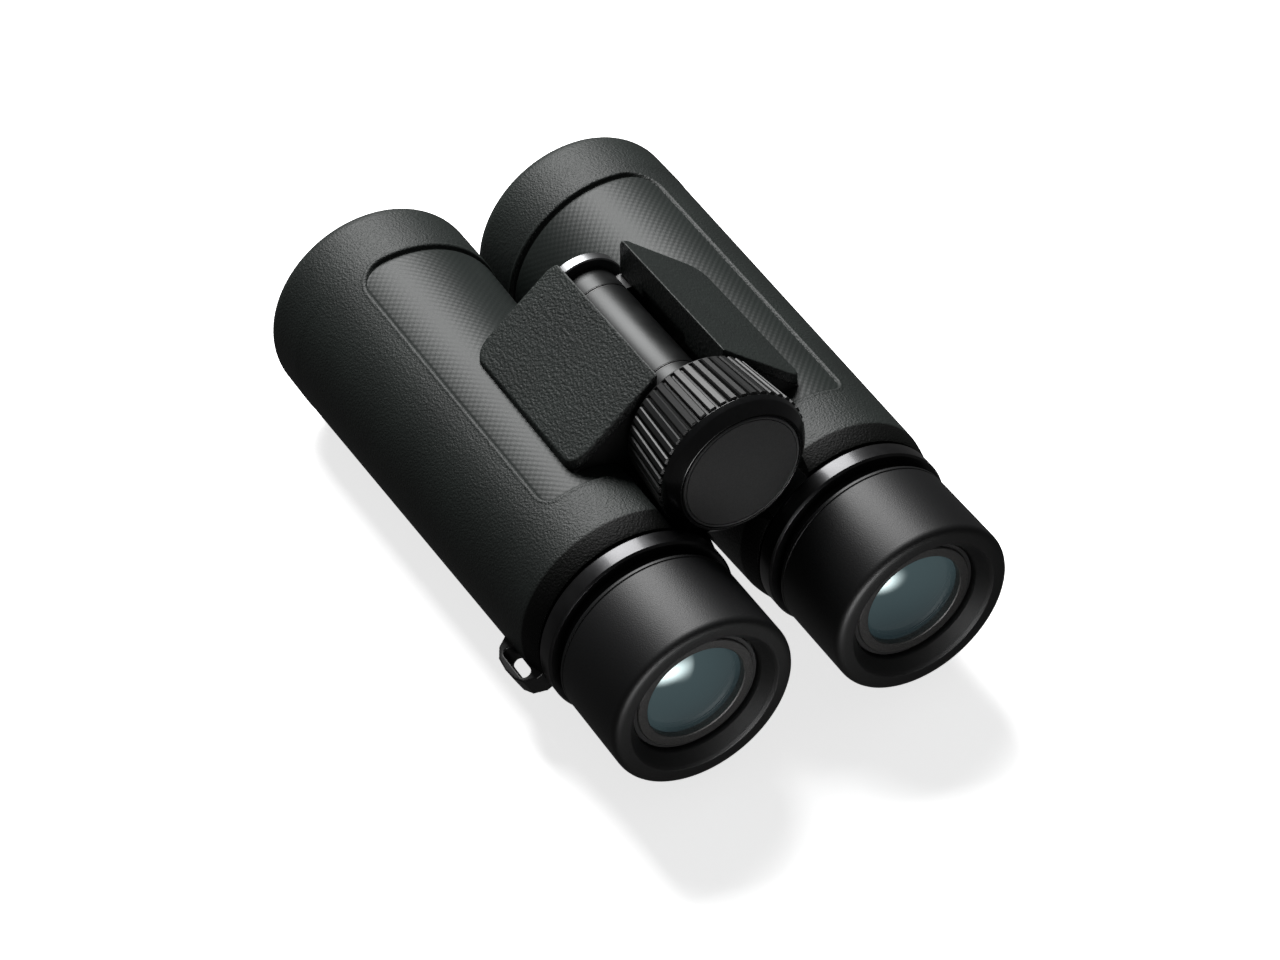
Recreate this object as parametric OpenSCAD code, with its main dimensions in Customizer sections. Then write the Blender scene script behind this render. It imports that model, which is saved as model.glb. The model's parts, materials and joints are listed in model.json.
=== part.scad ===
// Roof-prism binoculars: two rubber-armoured barrels on one central hinge, with a ribbed
// focus wheel, twist-up eyecups and a dioptre ring, built from separate working pieces.
// +X is the user's right, +Y points at the scene, +Z is up (the focus wheel is on top).
// The origin is at the centre of the base, under the middle of the barrels.
// Inside the modules y runs from the eyecup rims (0) to the objective bumpers (body_length).

/* [Optics] */
// Clear diameter of each objective lens
objective_aperture = 42; // [30:1:56]
// Clear diameter of each eye lens, inside its grey ring
eye_aperture = 25; // [18:0.5:30]
// Half height of the light beam through the roof prisms
beam_half = 9; // [7:0.5:10]

/* [Body] */
// Length from the eyecup rims to the objective bumpers, eyecups down
body_length = 165; // [140:1:200]
// Space between the two bumpers as shown
barrel_gap = 2; // [0.5:0.5:14]
// Outer radius of the hinge tube
hinge_tube_radius = 8.8; // [8.6:0.1:11]
// Space between a bumper's radius and the hinge tube, across the bridge
bridge_gap = 4.9; // [4:0.1:10]
// Length of the wing covers along the barrels
wing_length = 47; // [44:0.5:48]

/* [Focus wheel] */
// Largest radius over the ribs
wheel_radius = 19.3; // [17:0.1:20.5]
// Length from the cap to the front face
wheel_length = 22; // [20:0.5:22]
// Number of ribs round the grip
rib_count = 44; // [24:1:60]
// Focus travel each way
focus_travel = 2.9; // [1:0.1:2.9]

/* [Eyecups] */
// Rise of an eyecup when it is fully twisted up
eyecup_rise = 9; // [5:0.5:9]
// Turn that raises an eyecup fully, in degrees
eyecup_turn = 75; // [50:5:90]
// Turn of the dioptre ring each way, in degrees
dioptre_turn = 35; // [20:5:40]
// Travel of the dioptre cell each way
dioptre_travel = 1.2; // [0.5:0.1:1.2]

/* [Fits] */
// Gap between parts that are glued, pressed or screwed together
seat_gap = 0.02; // [0.01:0.01:0.05]
// Gap between parts that turn or slide on each other
run_gap = 0.05; // [0.02:0.01:0.09]

/* [Hidden] */
$fn = 96;

// Barrel radii, from the objective outwards
objective_r = objective_aperture / 2;
objective_lens_r = objective_r + 0.6;
cell_r = objective_lens_r + 1.4;
housing_r = cell_r + 1.2;
bore_r = housing_r - 2;
focus_lens_r = bore_r - 4.72;
focus_hollow = 1.18;
bumper_r = housing_r + 3.8;
rear_housing_r = housing_r - 0.9;
rear_armour_r = rear_housing_r + 2.1;
front_armour_r = bumper_r - 0.2;

// Eyepiece radii, from the eye lens outwards
eye_r = eye_aperture / 2;
eye_lens_r = eye_r + 0.8;
ring_r = eye_r + 2.5;
tube_end_r = ring_r + 0.9;
tube_r = eye_r + 4.9;
field_cell_r = tube_r - 2;
field_lens_r = field_cell_r - 1.5;
click_r = tube_r + 1.3;
key_r = click_r + 0.8;
sleeve_r = tube_r + 3;
eyecup_r = tube_r + 5.8;
neck_r = tube_r + 3.5;
trim_r = neck_r + 3.3;

// Stations along the barrel
retainer_y = 4;
pin_y = 20;
neck_y = 25.3;
trim_y = 27.6;
dioptre_y = 30.1;
armour_y = 33.2;
lip_length = 6.2;
bore_y = 58;
groove_y = body_length - 20;
panel_y = 52;
cell_y = body_length - 22;
cage_y = 59.5;
prism_y = 83.2;
focus_y = 90;

// Hinge, wheel and wing
pupil_distance = 2 * bumper_r + barrel_gap;
hinge_x = pupil_distance / 2;
hinge_reach = bumper_r + hinge_tube_radius + bridge_gap;
hinge_rise = sqrt(hinge_reach * hinge_reach - hinge_x * hinge_x);
arm_angle = atan2(hinge_rise, hinge_x);
axle_r = hinge_tube_radius - 2.3;
axle_bore_r = axle_r - 1.6;
spindle_r = 2;
spool_core_r = 3.3;
wheel_y = 33;
wheel_end_y = wheel_y + wheel_length;
wing_y = wheel_end_y + 0.9;
wing_end_y = wing_y + wing_length;
knuckle_ys = [57.9, 64.7, 65.2, 96.8, 97.3, 104.1];
cap_y = 104.2;
ridge_x = hinge_tube_radius - 0.2;
ridge_z = 16;
ridge_corner_r = 2.5;
swing_gap = 0.3;
cover_t = 2.4;
cover_side_t = 1.5;
arm_w = 3.6;
arm_t = 1.6;
slot_w = arm_w + 0.6;
slot_y = [focus_y - focus_travel - arm_t / 2 - 0.3, focus_y + focus_travel + arm_t / 2 + 0.3];
lug_angle = 207;
pin_r = 1.1;
groove_r = 1.5;

// Unit vectors in the XZ plane of a left barrel: towards the barrel, and square to that
towards = [-hinge_x, -hinge_rise] / hinge_reach;
across = [hinge_rise, -hinge_x] / hinge_reach;
hinge = [hinge_x, hinge_rise];
ridge = [hinge_x - ridge_x, hinge_rise + ridge_z];
wing_foot = [-2, armour_radius(wing_end_y) + 0.6];
wing_dir = (ridge - wing_foot) / norm(ridge - wing_foot);
wing_up = [-wing_dir[1], wing_dir[0]];

// Outer radius of the armour at a station behind the bumper: it widens gently to the front
function armour_radius(y) =
    rear_armour_r + (front_armour_r - rear_armour_r) * (y - armour_y - 5) / (groove_y - armour_y - 5);

// Point on the armour's rear end, which rolls inwards as a quarter of an ellipse
function rear_lip(angle) =
    [rear_housing_r + 0.5 + (armour_radius(armour_y + lip_length) - rear_housing_r - 0.5) * sin(angle),
     armour_y + lip_length * (1 - cos(angle))];

// Points of an arc about a centre, from one angle to another
function arc(centre, r, from, to, steps) =
    [for (i = [0:steps]) centre + r * [cos(from + (to - from) * i / steps),
                                       sin(from + (to - from) * i / steps)]];

// Point at an offset from the hinge, along and across the line to the barrel
function from_hinge(along, side) = hinge + along * towards + side * across;

// Height of a plane parallel to the wing's top, a depth below it, at a given x
function wing_plane(x, depth) =
    [x, ridge[1] + (x - ridge[0] + depth * wing_up[0]) * wing_dir[1] / wing_dir[0] - depth * wing_up[1]];

// Placing: barrel modules are drawn for the left barrel, about its own axis
module on_left() {
    translate([-pupil_distance / 2, -body_length / 2, bumper_r]) children();
}

module on_right() {
    translate([pupil_distance / 2, -body_length / 2, bumper_r]) mirror([1, 0, 0]) children();
}

module on_hinge() {
    translate([0, -body_length / 2, bumper_r + hinge_rise]) children();
}

// A profile of [radius, y] points turned round the barrel's axis
module turned(points) {
    rotate([-90, 0, 0]) rotate_extrude() polygon(points);
}

// A plain ring or disc between two stations
module ring(r, hole, y0, y1) {
    translate([0, y0, 0]) rotate([-90, 0, 0]) difference() {
        cylinder(r = r, h = y1 - y0);
        translate([0, 0, -1]) cylinder(r = hole, h = y1 - y0 + 2);
    }
}

module rod(r, y0, y1) {
    translate([0, y0, 0]) rotate([-90, 0, 0]) cylinder(r = r, h = y1 - y0);
}

// A flat shape in the XZ plane, carried from one station to another
module along_y(y0, y1) {
    translate([0, y1, 0]) rotate([90, 0, 0]) linear_extrude(y1 - y0) children();
}

// A wedge about the Y axis, between two angles less than a half turn apart
module wedge(r, from, to, y0, y1) {
    middle = (from + to) / 2;
    far = r / cos((to - from) / 4);
    along_y(y0, y1) polygon([
        [0, 0],
        r * [cos(from), sin(from)],
        far * [cos((from + middle) / 2), sin((from + middle) / 2)],
        r * [cos(middle), sin(middle)],
        far * [cos((middle + to) / 2), sin((middle + to) / 2)],
        r * [cos(to), sin(to)]
    ]);
}

// A radial pin or hole at an angle and a station
module radial(r, from, to, angle, y) {
    translate([0, y, 0]) rotate([0, -angle, 0]) rotate([0, 90, 0])
        translate([0, 0, from]) cylinder(r = r, h = to - from, $fn = 32);
}

// A helical track cut as a row of overlapping radial holes
module track(r, from, to, start, turn, y0, y1, steps) {
    for (i = [0:steps])
        radial(r, from, to, start + turn * i / steps, y0 + (y1 - y0) * i / steps);
}

// Points of a spherical face from its vertex on the axis out to a radius; a positive curve
// has its centre further along Y than the vertex
function face(vertex, r, curve) =
    [for (i = [0:10]) [r * i / 10, vertex + curve * (1 - sqrt(1 - pow(r * i / 10 / curve, 2)))]];

function reversed(points) = [for (i = [len(points) - 1:-1:0]) points[i]];

// A lens with spherical faces at its two vertices
module lens(r, y0, y1, rear_curve, front_curve) {
    turned(concat(face(y0, r, rear_curve), reversed(face(y1, r, front_curve))));
}

module rounded_box(low, high, r) {
    hull() for (x = [low[0] + r, high[0] - r]) for (y = [low[1] + r, high[1] - r])
        translate([x, y]) circle(r = r, $fn = 32);
}

// ---- Housing -----------------------------------------------------------------------------

// The casting's outside, turned: neck, shoulder, rear barrel and main barrel
module housing_tube() {
    turned([[tube_r + seat_gap, neck_y], [neck_r, neck_y], [neck_r, armour_y],
        [rear_housing_r, armour_y], [rear_housing_r, bore_y - 1], [housing_r, bore_y],
        [housing_r, body_length - 3], [cell_r + seat_gap, body_length - 3],
        [cell_r + seat_gap, cell_y], [bore_r, cell_y], [bore_r, bore_y],
        [tube_r + seat_gap, bore_y]]);
}

// The arm of the casting that reaches from the barrel to the hinge
module bridge() {
    inner = hinge_x - ridge_x - cover_side_t;
    difference() {
        along_y(wing_y + 0.3, wing_end_y - 0.2) polygon([
            wing_plane(inner, cover_t), wing_plane(-4, cover_t), [0, 0], 7 * across,
            from_hinge(9.1, 5.4), from_hinge(5, 0), [inner, hinge_rise]]);
        translate([hinge_x, 0, hinge_rise]) rod(hinge_tube_radius + swing_gap, 0, body_length);
    }
}

// One hinge knuckle, with the web that joins it to the bridge
module knuckle(y0, y1) {
    inner = hinge_x - ridge_x - cover_side_t;
    translate([hinge_x, 0, hinge_rise]) rod(hinge_tube_radius, y0, y1);
    along_y(max(y0, wing_y + 0.3), min(y1, wing_end_y - 0.2)) polygon([
        [inner, hinge_rise + 5], [hinge_x - 0.8 * hinge_tube_radius, hinge_rise + 5],
        hinge, hinge - [1, 8], from_hinge(9.1, 5.4), from_hinge(12, 2)]);
}

// Everything that is cut out of a housing: bores, focus-arm slot, wheel relief
module housing_cuts(hinge_bore) {
    rod(tube_r + seat_gap, 0, bore_y + 1);
    rod(bore_r, bore_y, cell_y + 1);
    rod(cell_r + seat_gap, cell_y, body_length);
    translate([hinge_x, 0, hinge_rise]) {
        rod(hinge_bore, 0, body_length);
        rod(wheel_radius + 0.8, armour_y - 2, wing_y + 0.3);
    }
    rotate([0, -arm_angle, 0])
        translate([bore_r - 3, slot_y[0], -slot_w / 2])
            cube([hinge_reach - bore_r + 3, slot_y[1] - slot_y[0], slot_w]);
}

// The knuckle in the middle is the left barrel's; it also has a window for the right arm
module housing_left() {
    color([0.12, 0.12, 0.13]) on_left() difference() {
        union() {
            housing_tube();
            bridge();
            knuckle(knuckle_ys[2], knuckle_ys[3]);
        }
        housing_cuts(axle_r + seat_gap);
        translate([hinge_x, 0, hinge_rise])
            wedge(15, 286, 370, slot_y[0], slot_y[1]);
    }
}

module housing_right() {
    color([0.12, 0.12, 0.13]) on_right() difference() {
        union() {
            housing_tube();
            bridge();
            knuckle(knuckle_ys[0], knuckle_ys[1]);
            knuckle(knuckle_ys[4], knuckle_ys[5]);
        }
        housing_cuts(axle_r + run_gap);
        wedge(tube_r + 10, 180 - dioptre_turn - 8, 180 + dioptre_turn + 8,
            dioptre_y - 1.6, dioptre_y + 1.6);
    }
}

// ---- Rubber ------------------------------------------------------------------------------

// Armour outside: rolled rear lip, gently widening barrel, rounded bumper
module armour_body() {
    turned(concat(
        [[rear_housing_r + seat_gap, armour_y], [rear_housing_r + 0.5, armour_y]],
        [for (i = [1:7]) rear_lip(i * 90 / 7)],
        [[armour_radius(groove_y), groove_y],
         [bumper_r, groove_y + 2], [bumper_r, body_length - 9]],
        arc([bumper_r - 5.4, body_length - 5.4], 5.4, 12, 88, 8),
        [[objective_lens_r + 0.8, body_length], [objective_lens_r + 0.5, body_length - 0.5],
         [objective_lens_r + 0.8, body_length - 3 + seat_gap],
         [housing_r + seat_gap, body_length - 3 + seat_gap],
         [housing_r + seat_gap, bore_y - seat_gap],
         [rear_housing_r + seat_gap, bore_y - 1 - seat_gap]]));
}

// A shell that follows the armour, between two depths below its surface
module armour_shell(depth0, depth1, y0, y1) {
    turned([[armour_radius(y0) - depth1, y0], [armour_radius(y0) - depth0, y0],
        [armour_radius(y1) - depth0, y1], [armour_radius(y1) - depth1, y1]]);
}

// The panel's outline, seen from above and from the inner side
module panel_outline(y0, y1, grow) {
    linear_extrude(40) rounded_box([-12.2 - grow, y0], [40, y1], 5);
    translate([8, 0, 0]) rotate([0, 90, 0])
        linear_extrude(40) rounded_box([-12, y0], [16 + grow, y1], 5);
}

// The space that a wing cover and its bridge take out of the barrel
module wing_space(grow) {
    difference() {
        along_y(wing_y - grow, wing_end_y + grow) polygon([
            wing_plane(hinge_x, -6), wing_plane(wing_foot[0] - grow, -6),
            [wing_foot[0] - grow, 10], 7.05 * across, from_hinge(0, 7.05)]);
        translate([wing_foot[0] - grow, wing_y - grow, -5]) difference() {
            translate([-1, -1, 0]) cube([5, 5, 60]);
            translate([4, 4, -1]) cylinder(r = 4, h = 62, $fn = 48);
        }
        translate([wing_foot[0] - grow, wing_end_y + grow - 4, -5]) difference() {
            translate([-1, 0, 0]) cube([5, 5, 60]);
            translate([4, 0, -1]) cylinder(r = 4, h = 62, $fn = 48);
        }
    }
}

module armour() {
    color([0.19, 0.2, 0.2]) difference() {
        armour_body();
        intersection() {
            armour_shell(-2, 1.15, panel_y, groove_y + 0.2);
            panel_outline(panel_y, groove_y + 0.2, 0);
        }
        wing_space(seat_gap);
        translate([hinge_x, 0, hinge_rise])
            rod(wheel_radius + 0.8, armour_y - 2, wing_y + 0.3);
        lug_body(seat_gap);
    }
}

// Textured panel, let into the armour and standing just below it
module grip_panel() {
    color([0.27, 0.28, 0.27]) difference() {
        intersection() {
            armour_shell(0.4, 1.12, panel_y + 0.1, groove_y - 1.4);
            panel_outline(panel_y + 0.1, groove_y - 1.4, -0.1);
        }
        wing_space(seat_gap);
        translate([hinge_x, 0, hinge_rise])
            rod(wheel_radius + 0.8, armour_y - 2, wing_y + 0.3);
    }
}

// Sloping rubber cover on the bridge, folded down over the ridge beside the hinge tube
module wing_cover() {
    inner = hinge_x - ridge_x - cover_side_t;
    color([0.17, 0.18, 0.18]) difference() {
        intersection() {
            along_y(wing_y, wing_end_y) difference() {
                polygon([ridge, wing_foot, [wing_foot[0], 12], [hinge_x, 12], [hinge_x, hinge_rise + 5.2],
                    [ridge[0], hinge_rise + 5.2]]);
                polygon([wing_plane(inner + seat_gap, cover_t - seat_gap),
                    wing_plane(-12, cover_t - seat_gap), [-12, 0], [hinge_x + 5, 0],
                    [hinge_x + 5, hinge_rise + 5.2], [inner + seat_gap, hinge_rise + 5.2]]);
            }
            wing_space(0);
        }
        rod(housing_r + seat_gap, 0, body_length);
        // A shallow notch along the foot of the side wall
        translate([ridge[0] - 0.9, wing_end_y - 30, hinge_rise + 4.5]) cube([2, 19, 3.2]);
        // The front corner of the ridge is rounded
        translate([ridge[0] - 8, wing_end_y - ridge_corner_r, ridge[1] - ridge_corner_r]) difference() {
            cube([9, ridge_corner_r + 1, ridge_corner_r + 1]);
            translate([-1, 0, 0]) rotate([0, 90, 0]) cylinder(r = ridge_corner_r, h = 11);
        }
    }
}

// ---- Objective group ---------------------------------------------------------------------

module objective_cell() {
    color([0.08, 0.08, 0.08])
        turned([[objective_r - 0.2, cell_y + seat_gap], [cell_r, cell_y + seat_gap],
            [cell_r, cell_y + 14], [objective_lens_r + seat_gap, cell_y + 14],
            [objective_lens_r + seat_gap, cell_y + 2], [objective_r - 0.2, cell_y + 2]]);
}

module objective_lens() {
    color([0.45, 0.55, 0.7, 0.5])
        lens(objective_lens_r, cell_y + 3, cell_y + 14.2, 200, -85);
}

module objective_ring() {
    color([0.1, 0.1, 0.1]) turned([[objective_r, cell_y + 12.2],
        [objective_lens_r, cell_y + 12.2], [objective_lens_r, cell_y + 13.6],
        [objective_r + 0.2, cell_y + 13.6]]);
}

// ---- Focusing group ----------------------------------------------------------------------

// Sliding ring with an arm whose tip runs in the spool's groove
module focus_carrier() {
    color([0.55, 0.56, 0.58]) {
        difference() {
            rod(bore_r - run_gap, focus_y - 3, focus_y + 3);
            rod(focus_lens_r + seat_gap, focus_y - 2, focus_y + 4);
            rod(bore_r - 5.4, focus_y - 4, focus_y);
        }
        rotate([0, -arm_angle, 0]) translate([bore_r - 2, focus_y - arm_t / 2, -arm_w / 2])
            cube([hinge_reach - bore_r + 2 - spool_core_r - 0.2, arm_t, arm_w]);
    }
}

// Both faces are hollow by the same depth at any size, so the rim always fits its seat
module focus_lens() {
    curve = (pow(focus_lens_r, 2) + pow(focus_hollow, 2)) / (2 * focus_hollow);
    color([0.6, 0.72, 0.8, 0.5])
        lens(focus_lens_r, focus_y - 0.4, focus_y + 2.4, -curve, curve);
}

// ---- Prisms ------------------------------------------------------------------------------

// Prism outlines use [distance back from prism_y, height]
module prism_slab(points, half_width) {
    translate([half_width, prism_y, 0]) rotate([0, 0, -90]) rotate([90, 0, 0])
        linear_extrude(2 * half_width) polygon(points);
}

module prism_cage() {
    pocket_w = 2 * beam_half + 2.2;
    color([0.3, 0.3, 0.32]) difference() {
        rod(bore_r - seat_gap, cage_y, prism_y + 0.7);
        translate([-pocket_w / 2, prism_y - 2.47 * beam_half, -1.88 * beam_half])
            cube([pocket_w, 60, 3.91 * beam_half]);
        rod(beam_half - 0.2, 0, body_length);
    }
}

// Front prism: turns the beam downwards and back up through its sloping face
module prism_front() {
    tip = 2.46 * beam_half;
    color([0.75, 0.85, 0.9, 0.5]) prism_slab([[0, beam_half], [0, -beam_half],
        [2.05 * beam_half, -(1 + 2.05 * tan(22.5)) * beam_half], [tip, beam_half - tip]],
        beam_half + 1);
}

// Roof prism: the two roof faces meet along its upper sloping edge
module prism_roof() {
    gap = 0.42;
    reach = 2.414 * beam_half;
    half_width = beam_half + 1;
    color([0.75, 0.85, 0.9, 0.5]) difference() {
        prism_slab([[gap, beam_half], [gap + reach, beam_half - reach],
            [gap + reach, 2 * beam_half]], half_width);
        for (side = [-1, 1]) translate([0, prism_y - gap, beam_half]) rotate([-22.5, 0, 0])
            rotate([0, 45 * side, 0]) translate([-30, -60, 0]) cube([60, 80, 30]);
    }
}

// ---- Eyepiece ----------------------------------------------------------------------------

// Tube with the eye-lens seat at the rear, the field cell's bore and the field stop
module eyepiece_tube(hand) {
    color([0.1, 0.1, 0.11]) difference() {
        turned([[ring_r + seat_gap, 4.6], [tube_end_r, 4.6], [tube_end_r, 6.4], [tube_r, 6.6],
            [tube_r, 22.5], [tube_r - 0.55, 22.5], [tube_r - 0.55, 23.7], [tube_r, 23.7],
            [tube_r, 57], [field_cell_r + 0.1, 57], [field_cell_r + 0.1, 48], [9.5, 47.5],
            [9.5, 46], [field_cell_r + run_gap, 45.8], [field_cell_r + run_gap, 24],
            [eye_r + 0.1, 22], [eye_r + 0.1, 12], [eye_lens_r + seat_gap, 12],
            [eye_lens_r + seat_gap, 6.6], [ring_r + seat_gap, 6.6]]);
        for (start = [0, 180])
            track(groove_r, tube_r - 1.2, tube_r + 1, start, -hand * eyecup_turn,
                pin_y, pin_y - eyecup_rise, 12);
        if (hand < 0) wedge(tube_r + 5, 180 - dioptre_turn - 8, 180 + dioptre_turn + 8,
            dioptre_y - 1.6, dioptre_y + 1.6);
    }
}

module eye_lens() {
    color([0.35, 0.55, 0.6, 0.6]) lens(eye_lens_r, 4.95, 12.95, 46.8, -75);
}

// Flat grey ring that holds the eye lens
module eye_ring() {
    color([0.42, 0.42, 0.42]) turned([[eye_r + 0.25, retainer_y], [ring_r - 0.15, retainer_y],
        [ring_r, retainer_y + 0.15], [ring_r, 6.55], [eye_r, 6.55], [eye_r, retainer_y + 0.25]]);
}

// Cell of the field lens; the dioptre pin drives the right one along through its track
module field_cell(driven) {
    color([0.5, 0.5, 0.52]) difference() {
        turned([[field_lens_r - 1, 26], [field_cell_r, 26], [field_cell_r, 42],
            [field_lens_r + seat_gap, 42], [field_lens_r + seat_gap, 35.4],
            [field_lens_r - 1, 35.4]]);
        if (driven) track(groove_r, field_cell_r - 1.5, field_cell_r + 1, 180 - dioptre_turn,
            2 * dioptre_turn, dioptre_y - dioptre_travel, dioptre_y + dioptre_travel, 10);
    }
}

module field_lens() {
    color([0.6, 0.72, 0.8, 0.5]) lens(field_lens_r, 33.4, 39.4, 41, -60);
}

// Bright-edged ring behind the armour: fixed on the left, the dioptre ring on the right
module trim_ring(gap) {
    color([0.09, 0.09, 0.1]) turned([[neck_r + gap, trim_y], [trim_r - 0.7, trim_y],
        [trim_r, trim_y + 0.6], [trim_r, trim_y + 4.4], [trim_r - 0.5, trim_y + 5],
        [neck_r + gap, trim_y + 5]]);
}

module dioptre_ring() {
    difference() {
        trim_ring(run_gap);
        radial(pin_r + seat_gap, neck_r - 1, trim_r - 1, 180, dioptre_y);
    }
}

module dioptre_pin() {
    color([0.7, 0.7, 0.72]) radial(pin_r, field_cell_r - 1.3, trim_r - 1.1, 180, dioptre_y);
}

// ---- Twist-up eyecup ---------------------------------------------------------------------

// Ring that turns on the tube and carries the sleeve round by two keys
module click_ring() {
    color([0.3, 0.3, 0.32]) difference() {
        union() {
            turned([[tube_r + run_gap, 8], [click_r, 8], [click_r, 24.4],
                [tube_r + run_gap, 24.4], [tube_r + run_gap, 23.6], [tube_r - 0.5, 23.6],
                [tube_r - 0.5, 22.6], [tube_r + run_gap, 22.6]]);
            for (side = [-1, 1]) intersection() {
                ring(key_r, click_r - 0.5, 9, 24.4);
                translate([-1.2, 0, side > 0 ? 0 : -30]) cube([2.4, 40, 30]);
            }
        }
        for (side = [-1, 1]) translate([side * tube_r, 0, 0]) {
            translate([-3, pin_y - eyecup_rise, -1.25]) cube([6, eyecup_rise, 2.5]);
            for (y = [pin_y - eyecup_rise, pin_y]) radial(1.25, -3, 3, 0, y);
        }
    }
}

module eyecup_sleeve() {
    color([0.08, 0.08, 0.08]) difference() {
        ring(sleeve_r, click_r + run_gap, 6, 24.7);
        for (side = [-1, 1]) translate([-1.3, 5, side > 0 ? 0 : -key_r - 0.1])
            cube([2.6, 21, key_r + 0.1]);
        for (angle = [0, 180]) radial(pin_r + seat_gap, click_r - 1, sleeve_r + 1, angle, pin_y);
    }
}

// Soft cup: rounded rim, raised ridge and a face that dips to the eye ring
module eyecup_rubber() {
    color([0.13, 0.13, 0.13]) turned(concat(
        [[sleeve_r + seat_gap, 24.9], [eyecup_r - 0.25, 24.9], [eyecup_r, 24.6],
         [eyecup_r, 23.3], [eyecup_r - 0.12, 23.15], [eyecup_r, 23]],
        arc([eyecup_r - 3.7, 3.75], 3.7, 0, -84, 9),
        [[eyecup_r - 3.7, 0], [eyecup_r - 4.3, 0.35], [tube_end_r + 0.7, 3.3],
         [tube_end_r + 0.5, 3.8], [tube_end_r + 0.5, 5.95], [sleeve_r + seat_gap, 5.95]]));
}

module eyecup_pins() {
    color([0.7, 0.7, 0.72]) for (angle = [0, 180])
        radial(pin_r, tube_r - 1, sleeve_r - 0.05, angle, pin_y);
}

// ---- Strap lug ---------------------------------------------------------------------------

// Solid shape of the lug, standing on the housing beside the eyepiece neck
module lug_body(grow) {
    half = 3 + grow;
    low = rear_housing_r - 1;
    outline = [[low, 30.5 + 3.2 - grow], [low + 3.4, 33.6 - grow], [low + 6.4, 35.4 - grow],
        [low + 7.6 + grow, 38], [low + 7.9 + grow, 41.5], [low + 7.5 + grow, 45.2],
        [low + 5.8 + grow, 47.8 + grow], [low + 3.2, 49.2 + grow], [low, 49.6 + grow]];
    rotate([0, -lug_angle, 0]) translate([0, 0, -half]) linear_extrude(2 * half)
        polygon(outline);
}

module strap_lug() {
    low = rear_housing_r - 1;
    color([0.07, 0.07, 0.07]) difference() {
        lug_body(0);
        rod(rear_housing_r + seat_gap, 0, body_length);
        rotate([0, -lug_angle, 0]) translate([low + 3.2, 0, -5]) linear_extrude(10)
            rounded_box([0, 36], [2.9, 46], 1.3);
    }
}

// ---- Hinge -------------------------------------------------------------------------------

// Hollow steel axle: key slot on top, windows at the sides for the two focusing arms
module hinge_axle() {
    color([0.6, 0.61, 0.63]) on_hinge() difference() {
        ring(axle_r, axle_bore_r, 51, 104.1);
        translate([-0.85, focus_y - 9.3, 0]) cube([1.7, 18.6, 20]);
        rotate([0, -(180 + arm_angle), 0]) translate([0, slot_y[0], -slot_w / 2])
            cube([20, slot_y[1] - slot_y[0], slot_w]);
        wedge(20, 286, 370, slot_y[0], slot_y[1]);
    }
}

// Front cap, with the threaded socket that takes a tripod adapter
module hinge_cap() {
    color([0.35, 0.35, 0.36]) on_hinge() difference() {
        union() {
            rod(axle_bore_r - seat_gap, cap_y - 4.7, cap_y + 1);
            turned([[0, cap_y], [hinge_tube_radius + 2.2, cap_y], [hinge_tube_radius + 2.5, cap_y + 0.3],
                [hinge_tube_radius + 2.5, cap_y + 2.6], [hinge_tube_radius + 2, cap_y + 3.2],
                [0, cap_y + 3.2]]);
        }
        rod(3.175, cap_y - 3.4, cap_y + 10);
    }
}

module hinge_nut() {
    color([0.6, 0.61, 0.63]) on_hinge() ring(hinge_tube_radius - 0.4, axle_r + seat_gap, 53, 57.75);
}

module hinge_washers() {
    color([0.85, 0.85, 0.8]) on_hinge() for (y = [knuckle_ys[1], knuckle_ys[3]])
        ring(hinge_tube_radius - 0.2, axle_r + seat_gap, y + 0.1, y + 0.4);
}

// ---- Focus drive -------------------------------------------------------------------------

// Lead screw turned by the wheel
module focus_spindle() {
    color([0.7, 0.66, 0.5]) on_hinge() difference() {
        union() {
            rod(spindle_r, 36.6, 99);
            rod(3.4, 60.2, 61.6);
        }
        rod(1.22, 30, 43);
    }
}

module spindle_bushing() {
    color([0.72, 0.55, 0.28]) on_hinge()
        ring(axle_bore_r - seat_gap, spindle_r + run_gap, 51, 60.1);
}

// Nut on the lead screw: the arms of both carriers run in its groove
module focus_spool() {
    color([0.72, 0.55, 0.28]) on_hinge() {
        difference() {
            rod(axle_bore_r - run_gap, focus_y - 6, focus_y + 6);
            rod(spindle_r + run_gap, 0, body_length);
            ring(axle_r, spool_core_r, focus_y - arm_t / 2 - 0.1, focus_y + arm_t / 2 + 0.1);
        }
        for (side = [-1, 1]) translate([-0.8, side > 0 ? focus_y + 2 : focus_y - 6, axle_bore_r - 1])
            cube([1.6, 4, 2]);
    }
}

// Hub of the wheel, with the smooth rear bevel
module wheel_core() {
    grip_r = wheel_radius - 4.3;
    color([0.07, 0.07, 0.07]) on_hinge() turned([
        [3.6, wheel_y + 1.9], [grip_r + 0.35, wheel_y + 1.9], [grip_r + 0.35, wheel_y + 0.3],
        [grip_r + 0.9, wheel_y + 0.3], [grip_r + 1.3, wheel_y + 0.7],
        [wheel_radius - 0.7, wheel_y + 3.2], [wheel_radius - 0.35, wheel_y + 4],
        [grip_r, wheel_y + 4], [grip_r, wheel_end_y], [hinge_tube_radius + 0.6, wheel_end_y],
        [hinge_tube_radius + 0.6, 50.3], [spindle_r + seat_gap, 50.3],
        [spindle_r + seat_gap, 36.5], [3.6, 36.5]]);
}

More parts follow.
